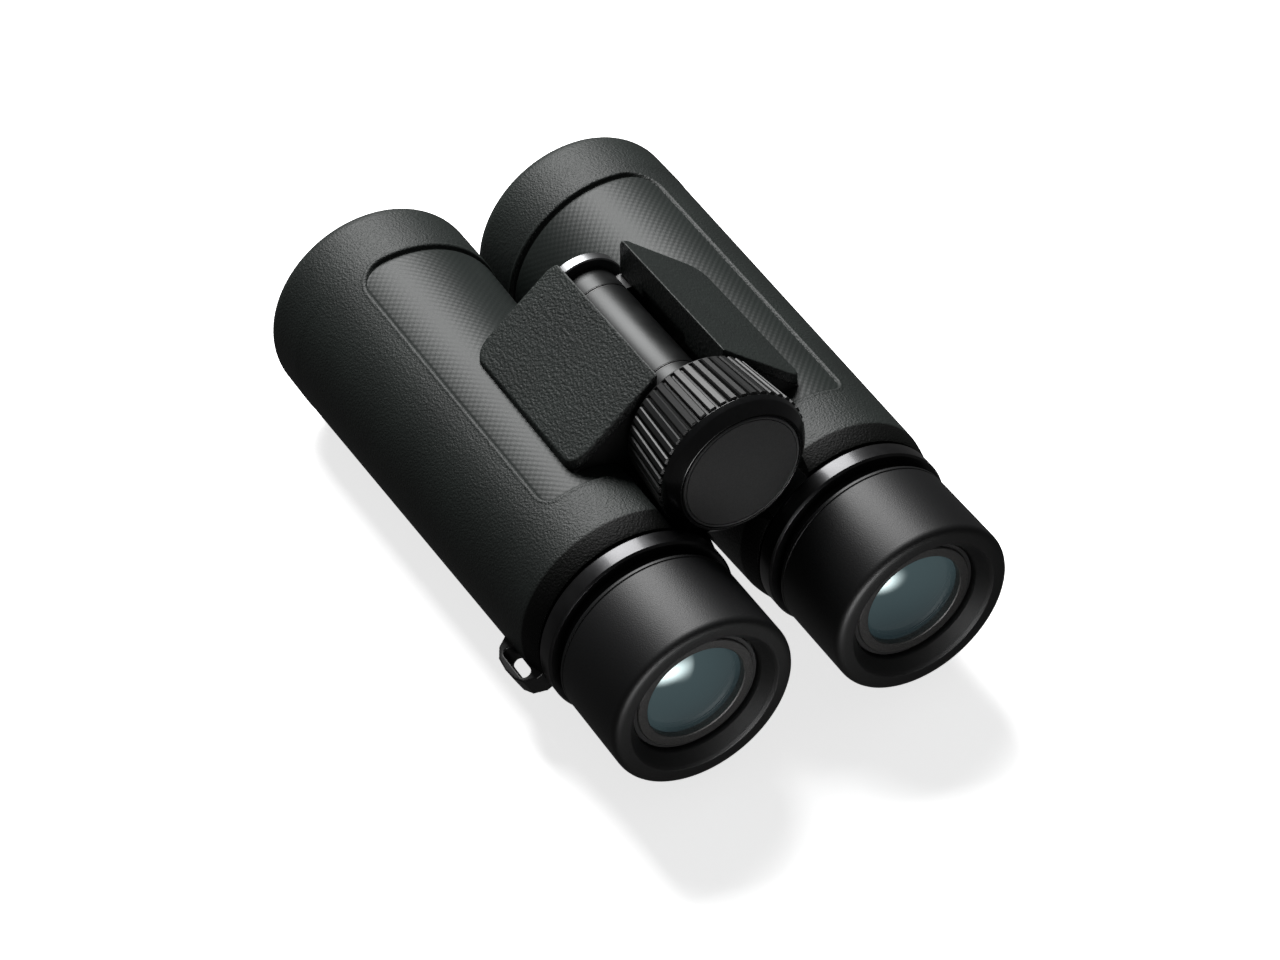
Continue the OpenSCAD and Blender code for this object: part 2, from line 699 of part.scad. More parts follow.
// Rubber grip: tapered, with long flat-topped ribs
module wheel_grip() {
    grip_r = wheel_radius - 4.3;
    color([0.16, 0.16, 0.16]) on_hinge() difference() {
        turned([[grip_r + seat_gap, wheel_y + 4.05], [wheel_radius - 0.3, wheel_y + 4.05],
            [wheel_radius, wheel_y + 4.6], [wheel_radius - 1.8, wheel_end_y - 0.5],
            [wheel_radius - 2.2, wheel_end_y], [grip_r + seat_gap, wheel_end_y]]);
        for (i = [0:rib_count - 1]) rotate([0, i * 360 / rib_count, 0])
            translate([-0.55, wheel_y + 5.2, wheel_radius - 1]) rotate([-6, 0, 0])
                cube([1.1, 30, 5]);
    }
}

module wheel_cap() {
    grip_r = wheel_radius - 4.3;
    color([0.22, 0.22, 0.23]) on_hinge() turned([[0, wheel_y], [grip_r, wheel_y],
        [grip_r + 0.3, wheel_y + 0.2], [grip_r + 0.3, wheel_y + 1.85], [0, wheel_y + 1.85]]);
}

module wheel_screw() {
    color([0.7, 0.7, 0.72]) on_hinge() {
        rod(3.4, wheel_y + 1.95, 36.48);
        rod(1.2, 36, 42.5);
    }
}

// ---- Assembly ----------------------------------------------------------------------------

housing_left();
housing_right();
on_left() armour();  // armour_left
on_right() armour();  // armour_right
on_left() grip_panel();  // grip_panel_left
on_right() grip_panel();  // grip_panel_right
on_left() wing_cover();  // wing_cover_left
on_right() wing_cover();  // wing_cover_right
on_left() objective_cell();  // objective_cell_left
on_right() objective_cell();  // objective_cell_right
on_left() objective_lens();  // objective_lens_left
on_right() objective_lens();  // objective_lens_right
on_left() objective_ring();  // objective_ring_left
on_right() objective_ring();  // objective_ring_right
on_left() focus_carrier();  // focus_carrier_left
on_right() focus_carrier();  // focus_carrier_right
on_left() focus_lens();  // focus_lens_left
on_right() focus_lens();  // focus_lens_right
on_left() prism_cage();  // prism_cage_left
on_right() prism_cage();  // prism_cage_right
on_left() prism_front();  // prism_front_left
on_right() prism_front();  // prism_front_right
on_left() prism_roof();  // prism_roof_left
on_right() prism_roof();  // prism_roof_right
on_left() eyepiece_tube(1);  // eyepiece_tube_left
on_right() eyepiece_tube(-1);  // eyepiece_tube_right
on_left() eye_lens();  // eye_lens_left
on_right() eye_lens();  // eye_lens_right
on_left() eye_ring();  // eye_ring_left
on_right() eye_ring();  // eye_ring_right
on_left() field_cell(false);  // field_cell_left
on_right() field_cell(true);  // field_cell_right
on_left() field_lens();  // field_lens_left
on_right() field_lens();  // field_lens_right
on_left() trim_ring(seat_gap);  // trim_ring_left
on_right() dioptre_ring();  // dioptre_ring_right
on_right() dioptre_pin();  // dioptre_pin_right
on_left() click_ring();  // click_ring_left
on_right() click_ring();  // click_ring_right
on_left() eyecup_sleeve();  // eyecup_sleeve_left
on_right() eyecup_sleeve();  // eyecup_sleeve_right
on_left() eyecup_rubber();  // eyecup_rubber_left
on_right() eyecup_rubber();  // eyecup_rubber_right
on_left() eyecup_pins();  // eyecup_pins_left
on_right() eyecup_pins();  // eyecup_pins_right
on_left() strap_lug();  // strap_lug_left
on_right() strap_lug();  // strap_lug_right
hinge_axle();
hinge_cap();
hinge_nut();
hinge_washers();
focus_spindle();
spindle_bushing();
focus_spool();
wheel_core();
wheel_grip();
wheel_cap();
wheel_screw();
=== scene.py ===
# %% [markdown]
# # Roof-prism binoculars
# The working parts come from the CAD model: this script loads them as a fixed frame, dresses
# the surfaces that the eye meets, and leaves every hinge, slide and thread where it is.
# %% Load the frame
import json
import math

import bmesh
import bpy
import numpy as np
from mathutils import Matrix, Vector


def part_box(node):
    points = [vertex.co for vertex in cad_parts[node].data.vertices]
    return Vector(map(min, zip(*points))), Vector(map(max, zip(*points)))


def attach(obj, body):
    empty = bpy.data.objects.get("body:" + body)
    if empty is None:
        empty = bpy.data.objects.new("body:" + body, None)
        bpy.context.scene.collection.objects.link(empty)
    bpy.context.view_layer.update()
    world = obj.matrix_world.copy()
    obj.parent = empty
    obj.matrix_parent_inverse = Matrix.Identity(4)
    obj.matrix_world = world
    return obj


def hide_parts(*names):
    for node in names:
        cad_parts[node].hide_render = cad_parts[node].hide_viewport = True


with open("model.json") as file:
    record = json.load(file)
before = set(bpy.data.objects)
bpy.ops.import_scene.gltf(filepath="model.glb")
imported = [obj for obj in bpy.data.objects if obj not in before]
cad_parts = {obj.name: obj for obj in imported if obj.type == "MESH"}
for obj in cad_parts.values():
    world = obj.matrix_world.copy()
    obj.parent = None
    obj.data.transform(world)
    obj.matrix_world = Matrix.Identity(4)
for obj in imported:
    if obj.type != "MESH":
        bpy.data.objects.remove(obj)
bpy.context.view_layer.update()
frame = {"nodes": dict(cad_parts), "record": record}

MM = 0.001

# %% [markdown]
# ## Where things are
# The joints of the record say where the two barrels and the hinge lie, so every piece below
# is placed from them. A barrel's own measures run from the eyecup's rim (0) to the bumper,
# with x towards the hinge, and the right barrel is the left one mirrored.
# %% Axes and stations
joint_at = {j["name"]: j.get("pos_m") for j in frame["record"]["behaviour"]["joints"]}
BARREL_X, _, BARREL_Z = [v / MM for v in joint_at["right_eyecup_turn"]]
HINGE_Z = joint_at["hinge_fold"][2] / MM
REAR_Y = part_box("eyecup_rubber_left")[0].y / MM
SIDES = {"left": -1, "right": 1}
BODY = {"left": "left_half", "right": "right_half"}
print("barrels at x =", BARREL_X, "z =", BARREL_Z, "hinge at z =", round(HINGE_Z, 2))


def in_frame(side, x, y, z):
    """A barrel's own point, in mm, as a point of the frame in metres."""
    return (SIDES[side] * (BARREL_X - x) * MM, (REAR_Y + y) * MM, (BARREL_Z + z) * MM)


def station(y):
    """A distance from the eyecup's rim, in mm, as a y of the frame in metres."""
    return (REAR_Y + y) * MM


# %% [markdown]
# ## The camera
# A long lens from the user's side, above and to the left, so that both eye lenses, the wheel
# and the tops of the barrels are in view. It is made first: everything else is judged in it.
# %% Make the camera
AZIMUTH, ELEVATION = math.radians(-30.3), math.radians(42.43)
AIM = Vector((-10.0, -21.1, 38.0)) * MM
AWAY = 815 * MM
camera_back = Vector((
    math.sin(AZIMUTH) * math.cos(ELEVATION),
    -math.cos(AZIMUTH) * math.cos(ELEVATION),
    math.sin(ELEVATION),
))
camera_data = bpy.data.cameras.new("product_camera")
camera_data.lens = 98.6
camera_data.sensor_width = 36
camera_data.clip_start = 0.01
camera_data.clip_end = 50
camera = bpy.data.objects.new("product_camera", camera_data)
camera.location = AIM + camera_back * AWAY
camera.rotation_mode = "QUATERNION"
camera.rotation_quaternion = (-camera_back).to_track_quat("-Z", "Y")
bpy.context.scene.collection.objects.link(camera)
bpy.context.scene.camera = camera
print("camera at", [round(v, 3) for v in camera.location])

# %% [markdown]
# ## Materials: the tools
# A finish here is a small node tree. Two helpers keep the trees short: one turns a hex colour,
# which is how a paint chart gives it, into the linear values that the renderer mixes, and one
# adds a node with its settings and its links.
# %% Colour and node helpers


def linear(hex_colour):
    """Linear RGBA of an sRGB hex colour."""
    channels = [int(hex_colour[i:i + 2], 16) / 255 for i in (1, 3, 5)]
    return tuple(c / 12.92 if c <= 0.04045 else ((c + 0.055) / 1.055) ** 2.4 for c in channels) + (1,)


def add(tree, kind, links=None, values=None, **settings):
    """A new node: settings are its properties, values its unlinked inputs, links its wires."""
    node = tree.nodes.new(kind)
    for key, value in settings.items():
        setattr(node, key, value)
    for key, value in (values or {}).items():
        node.inputs[key].default_value = value
    for key, socket in (links or {}).items():
        tree.links.new(socket, node.inputs[key])
    return node


def blank(name):
    """A material with an empty tree."""
    material = bpy.data.materials.new(name)
    material.use_nodes = True
    material.node_tree.nodes.clear()
    return material, material.node_tree


def two_tone(tree, factor, dark, light, low=0.35, high=0.65):
    """A colour that runs from one hex tone to another as the factor rises."""
    ramp = add(tree, "ShaderNodeValToRGB", {"Fac": factor})
    ramp.color_ramp.elements[0].position = low
    ramp.color_ramp.elements[0].color = linear(dark)
    ramp.color_ramp.elements[1].position = high
    ramp.color_ramp.elements[1].color = linear(light)
    return ramp.outputs["Color"]


def ranged(tree, factor, low, high):
    """A number that runs from low to high as the factor goes from 0 to 1."""
    return add(tree, "ShaderNodeMapRange", {"Value": factor},
               {"To Min": low, "To Max": high}).outputs["Result"]


# %% [markdown]
# ## Grained rubber and plastic
# Moulded rubber takes the grain of its etched mould: rounded cells like fine leather, with
# shallow valleys. A cell pattern gives the grain and a finer noise breaks up its tops, so the
# highlight turns soft and slightly sparkling instead of glassy.
# %% Moulded, grained finish


def grained(name, dark, light, grain_mm, depth_mm, rough=(0.5, 0.65), specular=0.4, painted_shade_end=None):
    """Moulded rubber or plastic with a leather-like grain; behind the given station its colour is painted
    near-black and its shine lowered, as painted shade on a lip that faces away from the light.
    """
    material, tree = blank(name)
    where = add(tree, "ShaderNodeTexCoord").outputs["Object"]
    cells = add(tree, "ShaderNodeTexVoronoi", {"Vector": where},
                {"Scale": 1 / (grain_mm * MM), "Randomness": 1.0}, feature="SMOOTH_F1")
    fine = add(tree, "ShaderNodeTexNoise", {"Vector": where},
               {"Scale": 1.6 / (grain_mm * MM), "Detail": 3.0})
    broad = add(tree, "ShaderNodeTexNoise", {"Vector": where}, {"Scale": 1 / (18 * MM), "Detail": 2.0})
    height = add(tree, "ShaderNodeMath", {0: cells.outputs["Distance"], 1: fine.outputs["Fac"]},
                 operation="ADD").outputs["Value"]
    relief = add(tree, "ShaderNodeBump", {"Height": height},
                 {"Strength": 1.0, "Distance": depth_mm * MM}).outputs["Normal"]
    mixed = add(tree, "ShaderNodeMath", {0: fine.outputs["Fac"], 1: broad.outputs["Fac"]},
                operation="MULTIPLY").outputs["Value"]
    tone, shine = two_tone(tree, mixed, dark, light, 0.1, 0.45), None
    # Painted shade: towards the rear of the station the colour is mixed to near-black and the shine
    # lowered, to darken the lip that faces away from the light
    if painted_shade_end is not None:
        along = add(tree, "ShaderNodeSeparateXYZ", {"Vector": where}).outputs["Y"]
        body = add(tree, "ShaderNodeMapRange", {"Value": along},
                   {"From Min": painted_shade_end - 0.3 * MM, "From Max": painted_shade_end + 0.3 * MM}).outputs["Result"]
        tone = add(tree, "ShaderNodeMix", {"Factor": body, "B": tone},
                   {"A": linear("#070807")}, data_type="RGBA").outputs["Result"]
        shine = ranged(tree, body, 0.1, specular)
    links = {"Base Color": tone, "Roughness": ranged(tree, fine.outputs["Fac"], *rough), "Normal": relief}
    if shine is not None:
        links["Specular IOR Level"] = shine
    shader = add(tree, "ShaderNodeBsdfPrincipled", links, {"Specular IOR Level": specular, "IOR": 1.5})
    add(tree, "ShaderNodeOutputMaterial", {"Surface": shader.outputs["BSDF"]})
    return material


# EPDM rubber armour, injection moulded over the casting: green-grey, matt, finely grained.
# Its rear lip carries painted shade, darker and less shiny up to this distance from the eyecup's rim, in
# mm, because that lip faces away from the light
PAINTED_SHADE_LIP_END = 38.6
armour_rubber = grained("moulded_rubber_armour", "#0e1412", "#19201d", 0.55, 0.12, (0.48, 0.64),
                        painted_shade_end=station(PAINTED_SHADE_LIP_END))
# The same rubber from a more deeply etched mould: a coarser, deeper grain on the wings
wing_rubber = grained("coarse_rubber_wing", "#0f1513", "#1c2320", 0.7, 0.17, (0.5, 0.64))
# The panel's rubber is left almost plain between its moulded diamonds
panel_rubber = grained("diamond_rubber_panel", "#131816", "#1c2220", 0.3, 0.012, (0.44, 0.56), 0.3)
# Silicone-like eyecup rubber: very dark, soft sheen, only a trace of grain
cup_rubber = grained("soft_eyecup_rubber", "#0a0a0b", "#101112", 0.28, 0.02, (0.42, 0.54), 0.3)
# Rubber grip ring of the wheel, smooth along its ribs
grip_rubber = grained("ribbed_grip_rubber", "#101111", "#191a1a", 0.3, 0.01, (0.42, 0.52), 0.4)
# ABS strap lug, satin from its spark-eroded mould
lug_plastic = grained("satin_moulded_lug", "#0b0b0c", "#131314", 0.25, 0.008, (0.35, 0.5))
# Glass-filled polycarbonate of tubes, cages and rings that stay inside
inner_plastic = grained("glass_filled_polycarbonate", "#0d0e0f", "#17181a", 0.3, 0.01, (0.5, 0.65))
print("rubbers and plastics made:", len(bpy.data.materials), "materials so far")

# %% [markdown]
# ## Turned, painted and anodised metal
# A part that was turned on a lathe keeps fine rings round its axis, and these draw the
# highlight out along the axis. The rings are noise that changes mostly along Y. They are far
# finer on the real part than can be seen, so they are drawn about 0.2 mm apart.
# %% Turned and painted metals


def turned_metal(name, dark, light, rough, metallic=1.0, line_mm=0.2, depth_mm=0.003, coat=0.0):
    """Metal or painted metal with lathe rings across its length."""
    material, tree = blank(name)
    where = add(tree, "ShaderNodeTexCoord").outputs["Object"]
    squeezed = add(tree, "ShaderNodeMapping", {"Vector": where}, {"Scale": (0.02, 1.0, 0.02)})
    rings = add(tree, "ShaderNodeTexNoise", {"Vector": squeezed.outputs["Vector"]},
                {"Scale": 1 / (line_mm * MM), "Detail": 2.0})
    cloud = add(tree, "ShaderNodeTexNoise", {"Vector": where}, {"Scale": 1 / (6 * MM), "Detail": 3.0})
    relief = add(tree, "ShaderNodeBump", {"Height": rings.outputs["Fac"]},
                 {"Strength": 1.0, "Distance": depth_mm * MM}).outputs["Normal"]
    shader = add(tree, "ShaderNodeBsdfPrincipled", {
        "Base Color": two_tone(tree, cloud.outputs["Fac"], dark, light),
        "Roughness": ranged(tree, cloud.outputs["Fac"], rough - 0.05, rough + 0.07),
        "Normal": relief,
    }, {"Metallic": metallic, "Coat Weight": coat, "Coat Roughness": 0.12})
    add(tree, "ShaderNodeOutputMaterial", {"Surface": shader.outputs["BSDF"]})
    return material


# Black anodised aluminium: a dye-filled oxide, so it is dark but still reflects like metal
black_anodised = turned_metal("black_anodised_aluminium", "#1a1b1c", "#242526", 0.3, 0.75)
# Satin black lacquer on the trim rings, glossier than the casting
ring_lacquer = turned_metal("satin_lacquered_ring", "#2b2b2c", "#343435", 0.32, 0.85, coat=0.12)
# Hinge tube: charcoal paint over a turned tube, which shows a long soft highlight
tube_paint = turned_metal("charcoal_painted_tube", "#1b1c1c", "#232424", 0.4, 0.6, 0.3, 0.002)
# Front cap of the hinge, turned and lightly polished on its rim
cap_metal = turned_metal("turned_hinge_cap", "#6a6b6c", "#7c7d7e", 0.34, 0.95)
# Ground stainless steel of axle, pins and screw
ground_steel = turned_metal("ground_stainless_steel", "#9a9b9d", "#b4b5b7", 0.28)
# Turned brass of the nut and its bushing
turned_brass = turned_metal("turned_brass", "#a8864a", "#c4a262", 0.3)
# Bare turned aluminium of the sliding lens cells
bare_aluminium = turned_metal("turned_aluminium", "#8c8d90", "#a5a6a9", 0.35)
print("metals made:", len(bpy.data.materials), "materials so far")

# %% [markdown]
# ## Painted casting, caps and the speckled ring
# Spray paint on a casting dries with a faint orange peel. The wheel's cap has a finer, flatter
# texture, and the ring round each eye lens is grey with a fine dark speckle.
# %% Sprayed finishes


def sprayed(name, dark, light, rough, peel_mm=0.6, depth_mm=0.006, speckle=False):
    """Sprayed paint with orange peel, and a fine speckle if asked."""
    material, tree = blank(name)
    where = add(tree, "ShaderNodeTexCoord").outputs["Object"]
    peel = add(tree, "ShaderNodeTexNoise", {"Vector": where}, {"Scale": 1 / (peel_mm * MM), "Detail": 2.0})
    grit = add(tree, "ShaderNodeTexNoise", {"Vector": where}, {"Scale": 1 / (0.22 * MM), "Detail": 2.0})
    tone = grit.outputs["Fac"] if speckle else peel.outputs["Fac"]
    relief = add(tree, "ShaderNodeBump", {"Height": peel.outputs["Fac"]},
                 {"Strength": 1.0, "Distance": depth_mm * MM}).outputs["Normal"]
    shader = add(tree, "ShaderNodeBsdfPrincipled", {
        "Base Color": two_tone(tree, tone, dark, light, 0.4, 0.6),
        "Roughness": ranged(tree, grit.outputs["Fac"], rough - 0.06, rough + 0.08),
        "Normal": relief,
    }, {"IOR": 1.5})
    add(tree, "ShaderNodeOutputMaterial", {"Surface": shader.outputs["BSDF"]})
    return material


# Satin black paint on the die-cast housings
casting_paint = sprayed("satin_painted_casting", "#0e0f10", "#161718", 0.42)
# Flat charcoal of the wheel's cap disc
disc_paint = sprayed("flat_charcoal_disc", "#2d2e2f", "#373839", 0.5, 0.25, 0.004)
# Glossy black hub of the wheel: polished mould, so its texture is very shallow
hub_gloss = sprayed("polished_black_hub", "#08090a", "#0d0e0f", 0.2, 1.2, 0.002)
# Grey ring round the eye lens, with its dark speckle
speckled_grey = sprayed("speckled_grey_ring", "#1d1d1c", "#484644", 0.5, 0.22, 0.01, True)
# Black acetal of the thin washers, so the seams between the knuckles stay dark
acetal = sprayed("black_acetal_washer", "#060606", "#0a0a0a", 0.5, 0.8, 0.003)
print("paints made:", len(bpy.data.materials), "materials so far")

# %% [markdown]
# ## Coated glass
# A coated lens sends back only a tinted part of the light: blue-green from the eye lens and
# violet from the objective. The glass is a dark, tinted body under a clear coat that is nearly
# mirror smooth. Real light comes through the whole barrel to the eye lens. The inside of this
# barrel is too dark for that, so a faint glow on the eye lens stands for it.
# %% Coated lenses


def coated_glass(name, deep, glow, reflect, clear=0.0, through=0.0):
    """A tinted lens under a coating; `through` is the glow that stands for light in the barrel."""
    material, tree = blank(name)
    where = add(tree, "ShaderNodeTexCoord").outputs["Object"]
    drift = add(tree, "ShaderNodeTexNoise", {"Vector": where}, {"Scale": 1 / (30 * MM), "Detail": 1.0})
    edge = add(tree, "ShaderNodeLayerWeight", values={"Blend": 0.45}).outputs["Facing"]
    mixed = add(tree, "ShaderNodeMath", {0: edge, 1: drift.outputs["Fac"]}, operation="MULTIPLY")
    tint = two_tone(tree, mixed.outputs["Value"], glow, deep, 0.05, 0.4)
    shader = add(tree, "ShaderNodeBsdfPrincipled", {
        "Base Color": tint, "Emission Color": tint,
        "Roughness": ranged(tree, drift.outputs["Fac"], 0.02, 0.04),
    }, {"IOR": 1.6, "Specular Tint": linear(reflect), "Transmission Weight": clear,
        "Emission Strength": through, "Coat Weight": 1.0, "Coat Roughness": 0.07, "Coat IOR": 1.5})
    add(tree, "ShaderNodeOutputMaterial", {"Surface": shader.outputs["BSDF"]})
    return material


eye_glass = coated_glass("coated_eye_lens", "#2f3e43", "#54676b", "#bfe6e6", 0.0, 0.5)
objective_glass = coated_glass("coated_objective", "#08080e", "#11111b", "#a398ff")
clear_glass = coated_glass("polished_prism_glass", "#9fb4b8", "#cfe0e2", "#ffffff", 0.9)
print("glasses made:", len(bpy.data.materials), "materials so far")

# %% [markdown]
# ## Dress the CAD parts
# Each CAD part keeps its shape and takes the finish of its material slot. Parts that the next
# cells rebuild in finer detail are hidden then, and keep working underneath.
# %% A finish for every slot
SLOT_FINISH = {
    "housing": casting_paint, "armour": armour_rubber, "grip_panel": panel_rubber,
    "wing_cover": wing_rubber, "black_aluminium": black_anodised,
    "objective_glass": objective_glass, "carrier": bare_aluminium, "inner_glass": clear_glass,
    "cage": inner_plastic, "prism_glass": clear_glass, "eyepiece_tube": inner_plastic,
    "eye_glass": eye_glass, "eye_ring": speckled_grey, "click_ring": inner_plastic,
    "sleeve": inner_plastic, "eyecup_rubber": cup_rubber, "steel": ground_steel,
    "lug": lug_plastic, "trim_ring": ring_lacquer, "hinge_cap": cap_metal, "washers": acetal,
    "brass": turned_brass, "wheel_core": hub_gloss, "wheel_grip": grip_rubber,
    "wheel_cap": disc_paint,
}
for part in frame["record"]["subparts"]:
    mesh = frame["nodes"][part["node"]].data
    mesh.materials.clear()
    mesh.materials.append(SLOT_FINISH[part["material_slot"]])
print("dressed", len(frame["nodes"]), "CAD parts")

# %% [markdown]
# ## Round pieces
# Eyecups, rings, lenses, caps and the hinge tube are all turned shapes: a profile swept round
# an axis. The profile's corners are softened first, because a real edge is never sharp and it
# is the thin lit line on a rounded edge that makes it look solid.
# %% Profile and turning helpers


def softened(points, steps=5):
    """Profile points (radius, y, corner radius) with each corner turned into a small arc."""
    out = []
    for i, (r, y, corner) in enumerate(points):
        here = np.array([r, y], float)
        before = np.array(points[i - 1][:2], float) - here
        after = np.array(points[(i + 1) % len(points)][:2], float) - here
        reach_b, reach_a = np.linalg.norm(before), np.linalg.norm(after)
        if corner <= 0 or min(reach_a, reach_b) < 1e-6:
            out.append(tuple(here))
            continue
        before, after = before / reach_b, after / reach_a
        half = math.acos(max(-1.0, min(1.0, float(before @ after)))) / 2
        cut = min(corner / math.tan(half), reach_b * 0.49, reach_a * 0.49) if half > 1e-3 else 0
        start, end = here + before * cut, here + after * cut
        for k in range(steps + 1):
            t = k / steps
            out.append(tuple((1 - t) ** 2 * start + 2 * t * (1 - t) * here + t * t * end))
    return out


def smooth_by_angle(mesh, degrees=32):
    """Smooth shading, with edges over an angle left crisp."""
    mesh.polygons.foreach_set("use_smooth", [True] * len(mesh.polygons))
    mesh.set_sharp_from_angle(angle=math.radians(degrees))


def finished(mesh, name, finish, body, replaced=()):
    """Turns a finished mesh into a piece that rides on its body."""
    mesh.materials.clear()
    mesh.materials.append(finish)
    piece = bpy.data.objects.new(name, mesh)
    bpy.context.scene.collection.objects.link(piece)
    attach(piece, body)
    if replaced:
        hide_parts(*replaced)
    return piece


def turned_mesh(name, profile, axis_x, axis_z, segments=160):
    """A closed profile of (radius, y) in mm, swept round an axis along Y."""
    shape = bmesh.new()
    rings = []
    for radius, y in profile:
        if radius < 1e-6:
            rings.append([shape.verts.new((axis_x * MM, station(y), axis_z * MM))])
            continue
        rings.append([shape.verts.new((
            (axis_x + radius * math.cos(2 * math.pi * k / segments)) * MM, station(y),
            (axis_z + radius * math.sin(2 * math.pi * k / segments)) * MM)) for k in range(segments)])
    for i, ring in enumerate(rings):
        following = rings[(i + 1) % len(rings)]
        if len(ring) == 1 and len(following) == 1:
            continue
        for k in range(segments):
            corners = [ring[k % len(ring)], following[k % len(following)],
                       following[(k + 1) % len(following)], ring[(k + 1) % len(ring)]]
            kept = [v for n, v in enumerate(corners) if v not in corners[:n]]
            if len(kept) > 2:
                shape.faces.new(kept)
    bmesh.ops.recalc_face_normals(shape, faces=shape.faces)
    mesh = bpy.data.meshes.new(name)
    shape.to_mesh(mesh)
    shape.free()
    smooth_by_angle(mesh)
    return mesh


def on_barrel(side):
    """The barrel's axis, in mm."""
    return SIDES[side] * BARREL_X, BARREL_Z


# %% [markdown]
# ## Eyecups
# Each eyecup is one soft rubber moulding: a cylinder with a fine parting groove near its
# front edge, a broad rounded shoulder, a slim raised rim, and a face that dips to the glass.
# %% Turn the eyecups
CUP_R = (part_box("eyecup_rubber_left")[1].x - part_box("eyecup_rubber_left")[0].x) / 2 / MM
cup_profile = softened([
    (20.45, 24.9, 0), (CUP_R - 0.45, 24.9, 0.3), (CUP_R, 24.35, 0.2), (CUP_R, 23.75, 0.1),
    (CUP_R - 0.25, 23.5, 0.05), (CUP_R, 23.25, 0.1), (CUP_R, 0.25, 4.6),
    (CUP_R - 4.15, 0.12, 0.5), (CUP_R - 4.75, 0.75, 0.5),
    (16.5, 3.35, 0.3), (16.35, 3.9, 0.2), (16.4, 5.95, 0), (20.45, 5.95, 0),
], 7)
for side in SIDES:
    mesh = turned_mesh(f"eyecup_{side}_moulding", cup_profile, *on_barrel(side), 192)
    finished(mesh, f"eyecup_{side}_moulding", cup_rubber, f"{side}_eyecup",
             [f"eyecup_rubber_{side}"])
print("eyecup radius", round(CUP_R, 2), "mm")

# %% [markdown]
# ## Rings and eye lenses
# Behind each eyecup sits a lacquered ring with bevelled edges; the right one is the dioptre
# ring. Inside the cup a flat grey ring holds the eye lens. The edge of the lens lies 1.7 mm
# behind the face of its ring, and its middle bulges past that face towards the eye.
# %% Turn the rings and eye lenses
TRIM_R = 24.2
trim_profile = softened([
    (20.95, 27.6, 0), (TRIM_R - 0.5, 27.6, 0.1), (TRIM_R, 28.1, 0.15), (TRIM_R, 31.95, 0.2),
    (TRIM_R - 0.55, 32.6, 0.15), (20.95, 32.6, 0),
])
eye_ring_profile = softened([
    (12.5, 4.2, 0.15), (12.75, 4.0, 0.1), (14.75, 4.0, 0.15), (15.0, 4.3, 0.15), (15.0, 6.5, 0),
    (12.5, 6.5, 0),
])


def dome(edge_r, edge_y, curve, back_y, steps=24):
    """Profile of a lens whose front bulges towards -Y as part of a sphere."""
    sag = curve - math.sqrt(curve * curve - edge_r * edge_r)
    points = []
    for i in range(steps + 1):
        r = edge_r * i / steps
        points.append((r, edge_y - sag + curve - math.sqrt(curve * curve - r * r)))
    return points + [(edge_r, back_y), (0.0, back_y)]


for side in SIDES:
    ring_body = "left_half" if side == "left" else "dioptre_adjuster"
    ring_node = "trim_ring_left" if side == "left" else "dioptre_ring_right"
    finished(turned_mesh(f"{side}_lacquered_ring", trim_profile, *on_barrel(side), 192),
             f"{side}_lacquered_ring", ring_lacquer, ring_body, [ring_node])
    finished(turned_mesh(f"{side}_eye_ring", eye_ring_profile, *on_barrel(side), 160),
             f"{side}_speckled_ring", speckled_grey, BODY[side], [f"eye_ring_{side}"])
    finished(turned_mesh(f"{side}_eye_lens", dome(12.45, 5.7, 25, 9.0), *on_barrel(side), 128),
             f"{side}_coated_eye_lens", eye_glass, BODY[side], [f"eye_lens_{side}"])

# %% [markdown]
# ## The hinge tube
# The housings carry the tube in three knuckles. A thin painted sleeve over each knuckle, with
# rounded ends, gives the fine dark seams where the halves turn on each other.
# %% Sleeves of the hinge tube
TUBE_R, SLEEVE_INNER_R = 8.85, 8.2
KNUCKLES = {"right_rear": ("right_half", 57.9, 64.7), "left_middle": ("left_half", 65.2, 96.8),
            "right_front": ("right_half", 97.3, 104.1)}
for name, (body, start, end) in KNUCKLES.items():
    sleeve = softened([(SLEEVE_INNER_R, start, 0), (TUBE_R, start, 0.3),
                       (TUBE_R, end, 0.3), (SLEEVE_INNER_R, end, 0)])
    finished(turned_mesh(f"hinge_sleeve_{name}", sleeve, 0, HINGE_Z, 128),
             f"hinge_sleeve_{name}", tube_paint, body)
print("hinge tube has", len(KNUCKLES), "sleeves")

# %% [markdown]
# ## The focus wheel
# The wheel is a glossy hub with a rubber grip ring. Its many equal ribs are a job for
# Geometry Nodes: one rib is made once, set round a circle by count, and joined to the ring.
# The rib is flat-topped with bevelled edges and follows the ring's taper.
# %% Ribs of the grip, as a node tree
RIB_COUNT = 44
RIB_FOOT_R = 17.8
GRIP_INNER_R = 15.05


def rib_mesh():
    """One rib along Y, standing on z = 0, narrower at its top and lower at its front."""
    shape = bmesh.new()
    section = [(-0.92, 0.0), (-0.86, 1.15), (-0.62, 1.5), (0.62, 1.5), (0.86, 1.15), (0.92, 0.0)]
    ends = [(0.0, 0.55), (0.35, 1.0), (17.0, 1.0), (17.35, 0.62)]
    rows = []
    for y, height in ends:
        lower = -1.85 * y / 17.35
        rows.append([shape.verts.new((x * MM, y * MM, (lower + z * height) * MM)) for x, z in section])
    for first, second in zip(rows, rows[1:]):
        for k in range(len(section)):
            n = (k + 1) % len(section)
            shape.faces.new((first[k], first[n], second[n], second[k]))
    shape.faces.new(rows[0])
    shape.faces.new(rows[-1][::-1])
    bmesh.ops.recalc_face_normals(shape, faces=shape.faces)
    mesh = bpy.data.meshes.new("one_rib")
    shape.to_mesh(mesh)
    shape.free()
    return mesh


